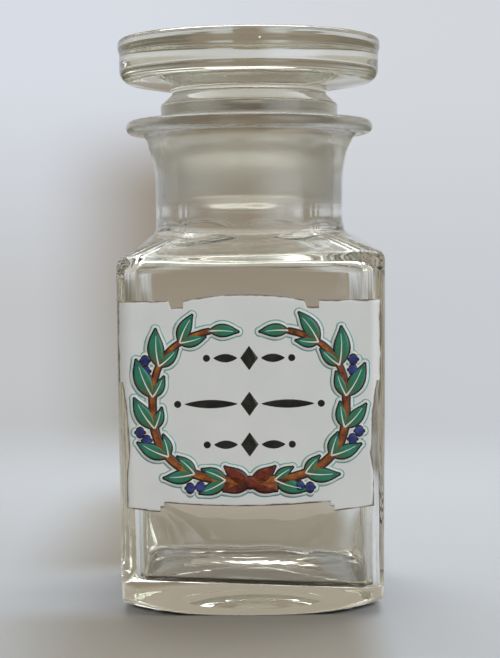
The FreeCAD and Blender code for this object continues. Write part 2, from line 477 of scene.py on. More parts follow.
def bottle_keys():
    """Key rings of the bottle's skin: up the outside, over the lip, down the inside."""
    def round_ring(radius, height):
        return at_height(radius * CIRCLE, height)

    def bare(ring, run_rows):
        return ring, 0, 0, run_rows

    heel_half = face_half(0)
    heel_plan = square_plan(heel_half, corner_round)
    heel_reach = np.linalg.norm(heel_plan, axis=1)
    kick_ball = (kick_radius ** 2 + kick_depth ** 2) / (2 * kick_depth)
    keys = [bare(round_ring(0, kick_depth), 0)]
    for share in KICK_SHARES:
        radius = share * kick_radius
        cap = kick_depth - kick_ball + math.sqrt(kick_ball ** 2 - radius ** 2)
        keys.append(bare(round_ring(radius, cap), 0))
    keys.append((round_ring(kick_radius, 0), kick_edge_round, 4, 4))
    keys.append(bare(round_ring(heel_flat_radius, 0), 0))
    for share in HEEL_SHARES:
        start = heel_flat_radius * CIRCLE
        plan = start + (heel_plan - start) * share
        keys.append(bare(at_height(plan, heel_rise(np.linalg.norm(plan, axis=1))), 0))
    keys.append((at_height(heel_plan, heel_rise(heel_reach)), heel_edge_round, 8, 60))
    edge_plan = square_plan(face_half(shoulder_height), corner_round)
    edge_height = shoulder_height + shoulder_lean * edge_plan[:, 0]
    keys.append((at_height(edge_plan, edge_height), shoulder_round, 10, 10))
    keys.append((round_ring(neck_radius, neck_root), neck_root_round, 8, 10))
    lip_underside = lip_top - lip_thickness
    keys.append((round_ring(neck_radius, lip_top - neck_flare_drop), neck_flare_round, 16, 4))
    keys.append((round_ring(neck_radius + neck_flare, lip_underside), lip_root_round, 8, 3))
    keys.append((round_ring(lip_radius, lip_underside), lip_edge_round, 8, 1))
    keys.append((round_ring(lip_radius, lip_top), lip_edge_round, 8, 5))
    keys.append((round_ring(mouth_radius, lip_top), mouth_round, 6, 24))
    ground_end = plug_end - ground_runout
    bore_radius = ground_radius(ground_end)
    keys.append((round_ring(bore_radius, ground_end), ground_end_round, 3, 6))
    slope = math.atan2(shoulder_rise, body_width / 2 - neck_radius)
    drop = shoulder_wall / math.cos(slope)
    rise = math.tan(slope)
    inner_root = neck_root + (neck_radius - bore_radius) * rise - drop
    inner_edge = shoulder_height + wall * rise - drop
    keys.append((round_ring(bore_radius, inner_root), inner_root_round, 8, 10))
    roof_plan = square_plan(face_half(inner_edge) - wall, inner_corner_round)
    keys.append((at_height(roof_plan, inner_edge), inner_shoulder_round, 10, 60))
    floor_plan = square_plan(face_half(floor_height) - wall, inner_corner_round)
    keys.append((at_height(floor_plan, floor_height), floor_round, 10, 0))
    for share in FLOOR_SHARES:
        keys.append(bare(at_height(floor_plan * share, floor_height), 0))
    keys.append(bare(round_ring(0, floor_height), 0))
    return keys


def panel_cut(rows):
    """How far the neck's outside is cut back: shallow panels side by side, deepest along their
    middle as a parabola, each with an arch for its top."""
    turn = np.degrees(np.arctan2(rows[..., 0], -rows[..., 1])) - panel_start
    place = turn * panel_count / 360 % 1 * 2 - 1
    top = panel_top - panel_arch * place ** 4
    height = rows[..., 2]
    tall = fade(height, *panel_foot) * (1 - fade(height, top - panel_runout, top))
    return panel_depth * (1 - place ** 2) * tall


def gathered_glass(rows, inside):
    """Sideways shift of the skin where glass has gathered in the floor's two back corners: their
    round in plan grows from the fill's top down to the floor, and dies away to the middle."""
    low = 1 - fade(rows[..., 2], floor_height, floor_height + floor_fill)
    outward = np.clip(np.abs(rows[..., :2]).max(axis=2) / (face_half(floor_height) - wall), 0, 1)
    at_back = REACH[:, 1] > 0
    growth = (floor_back_round - inner_corner_round) * inside * low * outward * at_back
    return growth[..., None] * (NORMAL - REACH)


def uneven_glass(rows, inside):
    """How far the bottle's skin sinks: slow ripples on both sides, upright streaks in the inner
    corners that sway with the height, and the panels outside. The lip and the base stay true."""
    height = rows[..., 2]
    plain = (1 - fade(height, *even_neck)) * np.where(inside, 1, fade(height, *even_heel))
    wave = (ripple(rows, long_ripple_pitch, 0.7) * long_ripple_share
            + ripple(rows, short_ripple_pitch, 1.9) * (1 - long_ripple_share))
    in_corners = np.clip(10 * (1 - np.abs(NORMAL).max(axis=1)), 0, 1)
    turn = np.arctan2(NORMAL[:, 1], NORMAL[:, 0])
    streak = inside * in_corners * np.sin(streaks_per_turn * turn + np.sin(height / streak_sway))
    depth = np.where(inside, inner_ripple, outer_ripple) * wave + corner_streak * streak
    return depth * plain + np.where(inside, 0, panel_cut(rows))


def bottle_shape():
    """The bottle's skin, uneven as old glass is, and where it is ground or has shade painted into its
    colour.

    Inside, glass has gathered in two corners, the room is shifted sideways and its floor leans.
    The ground part of the neck stays true."""
    rows = rounded_rows(bottle_keys())
    height = rows[..., 2]
    order = np.arange(len(rows))[:, None] + np.zeros_like(height)
    inside = order > np.argmax(height[:, 0]) + MOUTH_ROWS
    rows[..., :2] += gathered_glass(rows, inside)
    rows = rows - row_normals(rows) * uneven_glass(rows, inside)[..., None]
    low = 1 - fade(height, floor_height, floor_height + floor_lean_reach)
    room = inside * (1 - fade(height, *room_shift_end))
    share = np.clip(height / shoulder_height, 0, 1)
    shift = room_shift_bottom + (room_shift_top - room_shift_bottom) * share
    rows[..., 2] += inside * low * floor_lean * rows[..., 0]
    rows[..., 0] += room * shift
    matt = neck_matt * fade(height, *neck_matt_start) + joint_matt * fade(height, *joint_matt_start)
    ground = inside * (height < lip_top - mouth_bare) * matt
    # Shade painted into the glass's colour: at the floor, in its front corner, in the neck and at the
    # lip
    at_floor = floor_shade * (1 - fade(height, *floor_shade_end))
    at_front = 1 - fade(rows[..., 1], *floor_corner_shade_depth)
    corner_shade = floor_corner_shade * at_front * (1 - fade(height, *floor_corner_shade_end))
    in_neck = neck_shade * fade(height, *neck_shade_start)
    at_lip = lip_shade * fade(height, *lip_shade_start)
    painted_shade = inside * (in_neck + at_lip + at_floor + corner_shade)
    shape = closed_skin(rows[1:-1], rows[0, 0], rows[-1, 0])
    marks = {"ground": np.concatenate([ground[1:-1].ravel(), [0, 0]]),
             "painted_shade": np.concatenate([painted_shade[1:-1].ravel(), [0, painted_shade[-1, 0]]])}
    return shape, marks


def bubble(centre, size):
    """Small drawn-out hollow in the glass: a ball with its own half sizes, facing inwards."""
    turn = np.linspace(0, 2 * math.pi, BUBBLE_COLUMNS, endpoint=False)
    tilt = np.linspace(-math.pi / 2, math.pi / 2, BUBBLE_ROWS)[1:-1, None]
    ball = np.stack([np.cos(tilt) * np.cos(turn), np.cos(tilt) * np.sin(turn),
                     np.sin(tilt) + 0 * turn], axis=-1)
    pole = np.array([0, 0, size[2]])
    points, quads, triangles = closed_skin(ball * size, -pole, pole)
    return points + centre, quads[:, ::-1], triangles[:, ::-1]


def stopper_shape():
    """The stopper's skin: a profile of straight runs and arcs turned about the axis, a little
    uneven on its disc, with a few bubbles in the glass, and where it is ground or has painted shade."""
    def ring(radius, height):
        return at_height(radius * ROUND_CIRCLE, height)

    collar = lip_top + collar_height
    keys = [(ring(0, plug_end), 0, 0, 8),
            (ring(ground_radius(plug_end) - ground_gap, plug_end), plug_end_round, 6, 30),
            (ring(ground_radius(collar) - ground_gap, collar), collar_round, 6, 3),
            (ring(waist_radius, lip_top + waist_start), waist_round, 6, 1),
            (ring(waist_radius, lip_top + disc_underside_start), waist_round, 6, 10),
            (ring(disc_radius - disc_bead, lip_top + disc_rim_start), disc_bottom_round, 14, 4),
            (ring(disc_radius - disc_bead, disc_top - disc_bead_start), disc_bead_round, 6, 1),
            (ring(disc_radius, disc_top - disc_bead_full), disc_bead_round, 6, 1),
            (ring(disc_radius, disc_top), disc_top_round, 12, 24),
            (ring(0, disc_top), 0, 0, 0)]
    rows = rounded_rows(keys)
    height = rows[..., 2]
    ground = height < lip_top + ground_above_lip
    depth = disc_ripple * fade(height, lip_top + disc_underside_start, lip_top + disc_rim_start)
    normal = row_normals(rows)
    rows = rows - normal * (depth * ripple(rows, disc_ripple_pitch, 0.4))[..., None]
    skin = closed_skin(rows[1:-1], rows[0, 0], rows[-1, 0])
    bubbles = [bubble(np.array(centre), np.array(size)) for centre, size in bubbles_in_disc]
    # Shade painted into the glass's colour on the ground part: at the lip's height, and darker at the
    # plug's end
    at_end = plug_end_shade * (1 - fade(height, *plug_end_shade_end))
    painted_shade = ground * (plug_shade + plug_lip_shade * fade(height, *lip_shade_start) + at_end)
    unmarked = np.zeros(2 + sum(len(part[0]) for part in bubbles))
    marks = {"ground": np.concatenate([ground[1:-1].ravel(), unmarked]),
             "painted_shade": np.concatenate([painted_shade[1:-1].ravel(), unmarked])}
    return joined([skin] + bubbles), marks


def on_body(x, z, lift):
    """Points of the front face and its corners at a sideways place and height, raised by lift:
    flat in the middle, and round the corner along a circle."""
    half = face_half(z)
    flat = half - corner_round
    over = np.maximum(np.abs(x) - flat, 0)
    depth = flat + np.sqrt(np.maximum((corner_round + lift) ** 2 - over ** 2, 0))
    return np.stack(np.broadcast_arrays(x, -depth, z), axis=-1)


def arc_heights(x, middle, half, end_height, rise):
    """Heights along a shallow arc that stands at end_height at middle +/- half and rise above it
    in the middle, as a parabola."""
    return end_height + rise * (1 - ((x - middle) / half) ** 2)


def label_edges():
    """Columns of the label's grid, with the height of its lower and upper edge at each.

    The upper edge is an arc between two notches, whose left walls lean; the lower edge is a
    shallow bow between two stepped tabs, whose own edges rise outwards."""
    notches = [-crest_half_width - notch_width, crest_half_width]
    steps = [crest_shift + start + place for start in notches for place in (0, notch_slant, notch_width)]
    steps += [tab_shift + side * (tab_inner - stair)
              for side in (-1, 1) for stair in (0, tab_step / 2, tab_step)]
    even = label_shift + np.linspace(-ear_half_width, ear_half_width, LABEL_COLUMNS)
    columns = np.unique(np.concatenate([even] + [[step - HAIR, step + HAIR] for step in steps]))
    crest = columns - crest_shift
    upper = np.where(np.abs(crest) < crest_half_width,
                     arc_heights(crest, 0, crest_half_width, label_top, crest_rise), label_top)
    for start in notches:
        within = (crest > start) & (crest < start + notch_width)
        upper = upper - within * notch_depth * np.clip((crest - start) / notch_slant, 0, 1)
    away = np.abs(columns - tab_shift)
    inner = tab_inner - tab_step
    tab = label_bottom + tab_lean * (away - tab_inner)
    lower = np.where(away > tab_inner, tab, label_bottom + tab_depth / 2)
    lower = np.where(away > tab_inner - tab_step / 2, lower, label_bottom + tab_depth)
    lower = np.where(away > inner, lower,
                     arc_heights(away, 0, inner, label_bottom + tab_depth, -bottom_bow))
    return columns, lower, upper


def label_half_width(z):
    """Half width of the label at a height: ears, a step, a hollow flank, and a straight foot."""
    waist = ear_half_width - ear_step
    climb = np.clip((z - flank_height) / (ear_bottom - flank_height), 0, 1)
    flank = flank_half_width + (waist - flank_half_width) * climb - 4 * flank_sag * climb * (1 - climb)
    toe = np.clip((flank_height - z) / (flank_height - foot_height), 0, 1)
    flank = flank + (foot_half_width - flank_half_width) * toe
    return np.where(z > ear_bottom, ear_half_width, flank)


def label_shape():
    """The label: a grid stretched between its lower and upper edge and its two sides, with a
    rounded rim and slightly wavy edges, chipped at the upper left where two sine waves agree, and
    how near each point is to the edge."""
    columns, lower, upper = label_edges()
    tall = label_top - label_bottom
    step = (ear_bottom - label_bottom) / tall
    hair = HAIR / tall
    rows = np.unique(np.concatenate([np.linspace(0, 1, LABEL_ROWS), [step - hair, step + hair]]))
    half = label_half_width(label_bottom + rows * tall)[:, None]
    sideways = columns - label_shift
    outward = fade(np.abs(sideways), tab_inner + tab_step, ear_half_width)
    x = columns + np.sign(sideways) * (half - ear_half_width) * outward
    low_edge = (1 - fade(rows, 0, edge_share))[:, None] * (lower - label_bottom)
    high_edge = fade(rows, 1 - edge_share, 1)[:, None] * (upper - label_top)
    z = label_bottom + rows[:, None] * tall + low_edge + high_edge
    wobble = edge_wobble * (ripple(np.stack([x, z, z * 0], axis=-1), edge_wobble_pitch, 0.3) - 0.5)
    nicks = np.maximum(np.sin(1.7 * x) * np.sin(0.9 * x + 1.0), 0)
    chip = edge_chip * nicks * fade(-x, chip_start, chip_full)
    at_top = fade(rows, 1 - edge_wobble_share, 1)[:, None]
    at_bottom = (1 - fade(rows, 0, edge_wobble_share))[:, None]
    z = z + (wobble - chip) * at_top + wobble * at_bottom
    side = half - np.abs(x - label_shift)
    margin = np.minimum(side, np.minimum(upper - z, z - lower))
    share = np.clip(margin / label_pillow, 0, 1)
    thick = label_rim + (label_thickness - label_rim) * np.sqrt(1 - (1 - share) ** 2)
    shape = plate(on_body(x, z, thick), on_body(x, z, -label_sunk + 0 * thick))
    return shape, {"margin": np.concatenate([margin.ravel(), np.ones(margin.size)])}


def evenly(line, count):
    """The same line with its points at even distances along it."""
    steps = np.linalg.norm(np.diff(line, axis=0), axis=1)
    length = np.concatenate([[0], np.cumsum(steps)])
    place = np.linspace(0, length[-1], count)
    return np.stack([np.interp(place, length, line[:, axis]) for axis in (0, 1)], axis=1), length[-1]


def stroke(line, half, layer, grow=0.0, order=0):
    """Brush stroke on the label as a thin plate: a line widened by half to both sides, grown all
    round by grow with round ends, and raised to its layer."""
    tangent = np.gradient(line, axis=0)
    tangent = tangent / np.linalg.norm(tangent, axis=1, keepdims=True)
    width = half + grow
    if grow > 0:
        out = grow * CAP_SHARES
        cap = np.sqrt(1 - (out / grow) ** 2)
        line = np.concatenate([line[0] - tangent[0] * out[:, None], line,
                               line[-1] + tangent[-1] * out[::-1, None]])
        tangent = np.concatenate([np.repeat(tangent[:1], len(out), axis=0), tangent,
                                  np.repeat(tangent[-1:], len(out), axis=0)])
        width = np.concatenate([cap * width[0], width, cap[::-1] * width[-1]])
    across = np.stack([tangent[:, 1], -tangent[:, 0]], axis=1)
    sideways = width[:, None] * np.linspace(-1, 1, STROKE_COLUMNS)
    place = line[:, None] + across[:, None] * sideways[..., None]
    x, z = np.moveaxis(place, -1, 0)
    lift = label_thickness + PAINT_LIFTS[layer] + order * LIFT_STEP
    return plate(on_body(x, z, lift), on_body(x, z, label_thickness - paint_sunk))


def mirrored(line):
    """A line of the right half as it lies in the left half."""
    return np.stack([2 * wreath_middle[0] - line[:, 0], line[:, 1]], axis=1)


def blade(base, angle, length, half_width, bend):
    """Leaf as a line and its half widths: it starts at base, turns evenly by bend, and swells as
    a sine that is fullest a little before the middle."""
    share = np.linspace(0, 1, LEAF_ROWS)
    heading = angle + bend * share
    step = np.stack([np.cos(heading), np.sin(heading)], axis=1) * length / (LEAF_ROWS - 1)
    line = base + np.cumsum(step, axis=0) - step[0]
    return line, np.maximum(half_width * np.sin(math.pi * share ** leaf_fullness), least_half_width)


def dot(centre, radius):
    """Round spot as a line and its half widths: the half chords of a circle."""
    turn = np.linspace(DOT_START, math.pi - DOT_START, LEAF_ROWS)
    line = centre + np.stack([-radius * np.cos(turn), 0 * turn], axis=1)
    return line, radius * np.sin(turn)


def right_stem():
    """Right stem of the wreath: an ellipse with squarer corners, whose cosine and sine are raised
    to a power, that begins a little lower, and tapers to its tip."""
    turn = np.radians(np.linspace(stem_start, stem_end, STEM_SAMPLES))
    unit = np.stack([np.cos(turn), np.sin(turn)], axis=1)
    line = wreath_middle + wreath_half * np.sign(unit) * np.abs(unit) ** (2 / wreath_squareness)
    line[:, 1] -= stem_drop * (1 - fade(turn, turn[0], math.radians(stem_drop_end)))
    line, length = evenly(line, STEM_ROWS)
    share = np.linspace(0, 1, STEM_ROWS)
    knots = sum(swelling * np.sin(share * wave) for swelling, wave in stem_knots)
    half = stem_half_width * (1 - (1 - stem_taper) * share) * (1 + knots)
    return line, half, length


def sprig(side):
    """One half of the wreath: its stem, its leaves in pairs with one at the tip, and its berries.
    Leaves are longer where the wreath turns its upper corner; side is 1 or -1."""
    stem, stem_half, length = right_stem()
    heading = np.unwrap(np.arctan2(*np.gradient(stem, axis=0).T[::-1]))
    along = np.linspace(0, length, STEM_ROWS)
    leaves = []
    berries = []
    for pair in range(leaf_pairs):
        place = leaf_first + leaf_pitch * pair
        base = np.array([np.interp(place, along, stem[:, axis]) for axis in (0, 1)])
        angle = np.interp(place, along, heading)
        uneven = leaf_unevenness * math.sin(5.3 * pair + 2.0 * side)
        near_corner = math.exp(-((place - leaf_growth_place * length) / leaf_growth_reach) ** 2)
        outer = leaf_length * (1 + leaf_growth * near_corner + uneven)
        inner = leaf_length_inner * (1 - uneven)
        for turn, leaf, bend in ((uneven - outer_splay, outer, outer_bend),
                                 (uneven + inner_splay, inner, inner_bend)):
            leaves.append(blade(base, angle + turn, leaf, leaf_slimness * leaf, bend))
        if pair % 2:
            out = np.array([math.sin(angle), -math.cos(angle)])
            ahead = np.array([math.cos(angle), math.sin(angle)])
            for sideways, forward in berry_places:
                berries.append(dot(base + sideways * out + forward * ahead, berry_radius))
    tip_length = tip_share * leaf_length
    tip_half = leaf_slimness * tip_length
    leaves.append(blade(stem[-1], heading[-1] + tip_splay, tip_length, tip_half, tip_bend))
    if side < 0:
        stem = mirrored(stem)
        leaves = [(mirrored(line), half) for line, half in leaves]
        berries = [(mirrored(line), half) for line, half in berries]
    return (stem, stem_half), leaves, berries


def ribbon():
    """Bow that ties the two stems: two loops, two tails and a knot."""
    knot = wreath_middle - (0, wreath_half[1] + bow_drop)
    parts = [(loop_angle, loop_length, loop_half_width, loop_bend),
             (180 - loop_angle, loop_length, loop_half_width, -loop_bend),
             (-tail_angle, tail_length, tail_half_width, tail_bend),
             (tail_angle - 180, tail_length, tail_half_width, -tail_bend)]
    ends = [blade(knot, math.radians(turn), length, half, bend) for turn, length, half, bend in parts]
    return ends + [dot(knot, knot_radius)]


def vein(leaf):
    """Fine line along the middle of a leaf, from its foot to near its tip."""
    line, _ = leaf
    share = np.linspace(0, 1, LEAF_ROWS)
    return line[0] + (line - line[0]) * vein_share, vein_half_width * (1 - vein_taper * share)


def ruled_rows():
    """Three plain rules, each in two halves with a lozenge between them and a spot at each end: a
    half swells to its middle as a power of the cosine."""
    marks = []
    middle = wreath_middle[0]
    share = np.linspace(-1, 1, RULE_ROWS)
    tall = np.linspace(-1, 1, LOZENGE_ROWS)
    rule_half = rule_half_width * np.cos(share * math.pi / 2) ** rule_swell + rule_tip
    for height, half_length in rules:
        run = rule_gap + (half_length - rule_gap) * (share + 1) / 2
        for side in (-1, 1):
            line = np.stack([middle + side * run, np.full(run.size, height)], axis=1)
            marks.append((line, rule_half))
            marks.append(dot(np.array([middle + side * (half_length + spot_gap), height]), spot_radius))
        lozenge = np.stack([np.full(tall.size, middle), height + lozenge_half_height * tall], axis=1)
        marks.append((lozenge, lozenge_half_width * (1 - np.abs(tall)) + least_half_width))
    return marks


def strokes(marks, layer, grow=0.0):
    """One shape from many strokes of a layer, each a hair above the last."""
    return joined([stroke(line, half, layer, grow, order) for order, (line, half) in enumerate(marks)])


# Materials

GLASS_TINT = (0.78, 0.74, 0.60)
GLASS_DENSITY = 10.0
GLASS_IOR = 1.5
GROUND_ROUGHNESS = 0.35
# Shade painted into the glass's colour, from clear to dark brown as its mark grows
PAINTED_SHADE_COLOURS = [(0.0, (0.98, 0.985, 0.97)), (0.5, (0.68, 0.63, 0.56)),
                (0.85, (0.42, 0.34, 0.25)), (1.0, (0.10, 0.075, 0.05))]
ENAMEL_WHITES = [(0.35, (0.725, 0.72, 0.71)), (0.65, (0.755, 0.75, 0.74))]
ENAMEL_EDGE = (0.20, 0.14, 0.10)
ENAMEL_PIT = (0.08, 0.06, 0.05)
LEAF_COLOURS = [(0.05, (0.12, 0.10, 0.03)), (0.30, (0.035, 0.16, 0.08)),
                (0.70, (0.02, 0.21, 0.13)), (0.95, (0.015, 0.13, 0.10))]


def new_material(name):
    """Material with its node tree and its shader."""
    material = bpy.data.materials.new(name)
    material.use_nodes = True
    tree = material.node_tree
    shader = tree.nodes["Principled BSDF"]
    return material, tree, shader


def add_node(tree, kind, inputs=None, **settings):
    """Node with its settings, whose inputs are numbers, colours or other nodes' outputs."""
    node = tree.nodes.new(kind)
    for key, value in settings.items():
        setattr(node, key, value)
    for key, value in (inputs or {}).items():
        if isinstance(value, bpy.types.NodeSocket):
            tree.links.new(value, node.inputs[key])
        else:
            node.inputs[key].default_value = value
    return node


def noise(tree, place, scale, detail=2.0, roughness=0.5):
    """Noise value over a place."""
    node = add_node(tree, "ShaderNodeTexNoise", {"Vector": place, "Scale": scale, "Detail": detail,
                                                 "Roughness": roughness})
    return node.outputs["Fac"]


def ramp(tree, value, stops):
    """Colours or greys along a value, from (place, colour) stops."""
    node = add_node(tree, "ShaderNodeValToRGB", {"Fac": value})
    while len(node.color_ramp.elements) < len(stops):
        node.color_ramp.elements.new(0.5)
    for element, (place, colour) in zip(node.color_ramp.elements, stops):
        element.position = place
        element.color = (*colour, 1.0)
    return node.outputs["Color"]


def spread(tree, value, low, high, out_low, out_high):
    """Value from one range to another, held at its ends."""
    node = add_node(tree, "ShaderNodeMapRange", {"Value": value, "From Min": low, "From Max": high,
                                                 "To Min": out_low, "To Max": out_high})
    return node.outputs["Result"]


def smooth(tree, value, low, high, out_low, out_high):
    """Value from one range to another with a smooth step, held at its ends."""
    node = add_node(tree, "ShaderNodeMapRange", {"Value": value, "From Min": low, "From Max": high,
                                                 "To Min": out_low, "To Max": out_high},
                    interpolation_type="SMOOTHSTEP")
    return node.outputs["Result"]


def rises(tree, value, span):
    """0 before a span and 1 after it, with a smooth step between."""
    return smooth(tree, value, *span, 0.0, 1.0)


def falls(tree, value, span):
    """1 before a span and 0 after it, with a smooth step between."""
    return smooth(tree, value, *span, 1.0, 0.0)


def combine(tree, operation, first, second=0.0):
    """Sum, product or the like of two values."""
    node = add_node(tree, "ShaderNodeMath", {0: first, 1: second}, operation=operation)
    return node.outputs["Value"]


def product(tree, *values):
    """Values multiplied together."""
    total = values[0]
    for value in values[1:]:
        total = combine(tree, "MULTIPLY", total, value)
    return total


def blend_colours(tree, share, first, second):
    """Colour between two colours by a share."""
    node = add_node(tree, "ShaderNodeMix", {"Factor": share}, data_type="RGBA")
    for socket, colour in (("A", first), ("B", second)):
        target = next(item for item in node.inputs if item.name == socket and item.type == "RGBA")
        if isinstance(colour, bpy.types.NodeSocket):
            tree.links.new(colour, target)
        else:
            target.default_value = (*colour, 1.0)
    return next(item for item in node.outputs if item.type == "RGBA")


def mark(tree, name):
    """Number that each point of the piece carries."""
    return add_node(tree, "ShaderNodeAttribute", attribute_name=name).outputs["Fac"]


def object_place(tree):
    """Place on the piece, in metres."""
    return add_node(tree, "ShaderNodeTexCoord").outputs["Object"]


def bump(tree, height, strength, distance):
    """Normal of a fine relief."""
    return add_node(tree, "ShaderNodeBump", {"Height": height, "Strength": strength,
                                             "Distance": distance}).outputs["Normal"]


def glass(name):
    """Clear old glass: smooth and faintly rippled, matt where the ground mark is set, browner and
    darker where shade is painted in by its mark, with a tint that deepens with the thickness."""
    material, tree, shader = new_material(name)
    place = object_place(tree)
    # Shade painted into the colour by its mark, a little uneven
    cloudy = spread(tree, noise(tree, place, 70.0, 3.0), 0.3, 0.7, 0.75, 1.15)
    colour = ramp(tree, product(tree, mark(tree, "painted_shade"), cloudy), PAINTED_SHADE_COLOURS)
    tree.links.new(colour, shader.inputs["Base Color"])
    shader.inputs["IOR"].default_value = GLASS_IOR
    shader.inputs["Transmission Weight"].default_value = 1.0
    matt = spread(tree, mark(tree, "ground"), 0.0, 1.0, 0.0, GROUND_ROUGHNESS)
    tree.links.new(matt, shader.inputs["Roughness"])
    relief = noise(tree, place, 160.0, 1.0)
    tree.links.new(bump(tree, relief, 0.05, 0.0004), shader.inputs["Normal"])
    absorb = add_node(tree, "ShaderNodeVolumeAbsorption",
                      {"Color": (*GLASS_TINT, 1.0), "Density": GLASS_DENSITY})
    output = tree.nodes["Material Output"]
    tree.links.new(absorb.outputs["Volume"], output.inputs["Volume"])
    return material


def enamel():
    """White fired enamel: glossy, slightly uneven in tone, browner and duller at its edge, with
    a few dark pits."""
    material, tree, shader = new_material("label_enamel_white")
    place = object_place(tree)
    cloud = noise(tree, place, 90.0, 3.0)
    white = ramp(tree, cloud, ENAMEL_WHITES)
    fray = spread(tree, noise(tree, place, 260.0, 2.0), 0.3, 0.7, -0.2, 0.2)
    edge = falls(tree, combine(tree, "ADD", mark(tree, "margin"), fray), (0.10, 0.45))
    # Browner towards the label's edge
    browner_edge = blend_colours(tree, edge, white, ENAMEL_EDGE)
    cells = add_node(tree, "ShaderNodeTexVoronoi", {"Vector": place, "Scale": 130.0})
    pit = product(tree, falls(tree, cells.outputs["Distance"], (0.02, 0.045)),
                  rises(tree, noise(tree, place, 45.0, 1.0), (0.56, 0.60)))
    pitted = blend_colours(tree, pit, browner_edge, ENAMEL_PIT)
    tree.links.new(pitted, shader.inputs["Base Color"])
    tree.links.new(spread(tree, cloud, 0.3, 0.7, 0.14, 0.24), shader.inputs["Roughness"])
    tree.links.new(bump(tree, noise(tree, place, 700.0, 2.0), 0.06, 0.0003), shader.inputs["Normal"])
    return material


def paint(name, dark, light, edge_dark, roughness):
    """Fired paint: streaks between a dark and a light tone, and darker towards one side of each
    stroke."""
    material, tree, shader = new_material(name)
    place = object_place(tree)
    streak = noise(tree, place, 420.0, 3.0, 0.6)
    colour = ramp(tree, streak, [(0.36, dark), (0.64, light)])
    darker = smooth(tree, mark(tree, "across"), -0.1, 1.0, 0.0, edge_dark)
    shaded = blend_colours(tree, darker, colour, dark)
    tree.links.new(shaded, shader.inputs["Base Color"])
    dull = spread(tree, streak, 0.3, 0.7, roughness, roughness + 0.1)
    tree.links.new(dull, shader.inputs["Roughness"])
    tree.links.new(bump(tree, streak, 0.08, 0.0002), shader.inputs["Normal"])
    return material


def leaf_paint():
    """Leaf green that turns olive brown at the foot and bluer to the tip, streaked."""
    material, tree, shader = new_material("paint_leaf_green")
    place = object_place(tree)
    streak = noise(tree, place, 380.0, 3.0, 0.6)
    uneven = combine(tree, "MULTIPLY", streak, 0.5)
    shifted = combine(tree, "SUBTRACT", combine(tree, "ADD", mark(tree, "along"), uneven), 0.25)
    colour = ramp(tree, shifted, LEAF_COLOURS)
    tree.links.new(colour, shader.inputs["Base Color"])
    tree.links.new(spread(tree, streak, 0.3, 0.7, 0.2, 0.3), shader.inputs["Roughness"])
    tree.links.new(bump(tree, streak, 0.08, 0.0002), shader.inputs["Normal"])
    return material


bottle_glass = glass("bottle_clear_glass")
stopper_glass = glass("stopper_clear_glass")
label_white = enamel()

shape, marks = bottle_shape()
bottle = make_piece("glass_bottle", shape, bottle_glass, "bottle", marks)
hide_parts("bottle")

shape, marks = stopper_shape()
stopper = make_piece("glass_stopper", shape, stopper_glass, "stopper", marks)
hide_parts("stopper")

shape, marks = label_shape()
label = make_piece("enamel_label", shape, label_white, "bottle", marks)
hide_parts("label")

stems, leaves, berries = zip(*(sprig(side) for side in (1, -1)))
leaves = sum(leaves, [])
berries = sum(berries, [])
bow = ribbon()
whole = list(stems) + leaves + berries + bow
painted = [
    ("painted_contour", strokes(whole, "contour", contour_width),
     paint("paint_contour_teal", (0.14, 0.36, 0.34), (0.24, 0.50, 0.47), 0.2, 0.2)),
    ("painted_ground", joined([strokes(whole, "ground", ground_width),
                               strokes([vein(leaf) for leaf in leaves], "vein")]),
     paint("paint_ground_white", (0.72, 0.715, 0.70), (0.77, 0.765, 0.755), 0.0, 0.18)),
    ("painted_outline", joined([strokes(whole, "outline", outline_width),
                                strokes(ruled_rows(), "outline")]),
     paint("paint_black", (0.006, 0.005, 0.005), (0.018, 0.015, 0.013), 0.3, 0.2)),
    ("painted_stems", strokes(stems, "colour"),
     paint("paint_stem_brown", (0.13, 0.022, 0.006), (0.42, 0.13, 0.02), 0.8, 0.2)),
    ("painted_leaves", strokes(leaves, "colour"), leaf_paint()),
    ("painted_berries", strokes(berries, "colour"),
     paint("paint_berry_blue", (0.016, 0.02, 0.10), (0.045, 0.065, 0.30), 0.8, 0.18)),
    ("painted_bow", strokes(bow, "colour"),
     paint("paint_bow_red", (0.06, 0.008, 0.004), (0.26, 0.035, 0.012), 0.7, 0.2))]
side_to_side = np.linspace(-1, 1, STROKE_COLUMNS)
foot_to_tip = np.repeat(np.linspace(0, 1, LEAF_ROWS), STROKE_COLUMNS)
for name, shape, material in painted:
    point_count = len(shape[0])
    marks = {"across": np.tile(side_to_side, point_count // side_to_side.size)}
    if name == "painted_leaves":
        marks["along"] = np.tile(foot_to_tip, point_count // foot_to_tip.size)
    make_piece(name, shape, material, "bottle", marks)

# Stage, in metres; a span is where something sets in or ends

FLOOR_REACH = 2.6
FLOOR_DROP = 0.00005         # keeps the base and the floor from lying in one plane
FLOOR_RIM_POINTS = 64
FLOOR_FADE = (0.20, 0.50)
FLOOR_TONE = (0.505, 0.515, 0.545)
# Painted shade of the bottle on the floor, behind it and in front of it
SHADE_LEFT = (-0.075, -0.030)
BEHIND_RIGHT = (0.028, 0.040)
BEHIND_NEAR = (0.01, 0.05)
BEHIND_FAR = (0.13, 0.26)
BEHIND_SHADE_TONE = (0.28, 0.245, 0.195)
FRONT_RIGHT = (0.020, 0.034)
FRONT_NEAR = (-0.040, -0.012)
FRONT_SHADE_TONE = (0.345, 0.31, 0.27)
# Painted dark contact shadow where the base stands on the floor
TOUCH_INNER = (0.0235, 0.025)
TOUCH_OUTER = (0.0295, 0.031)
TOUCH_ROUND = (0.034, 0.037)
CONTACT_SHADE_TONE = (0.03, 0.025, 0.02)

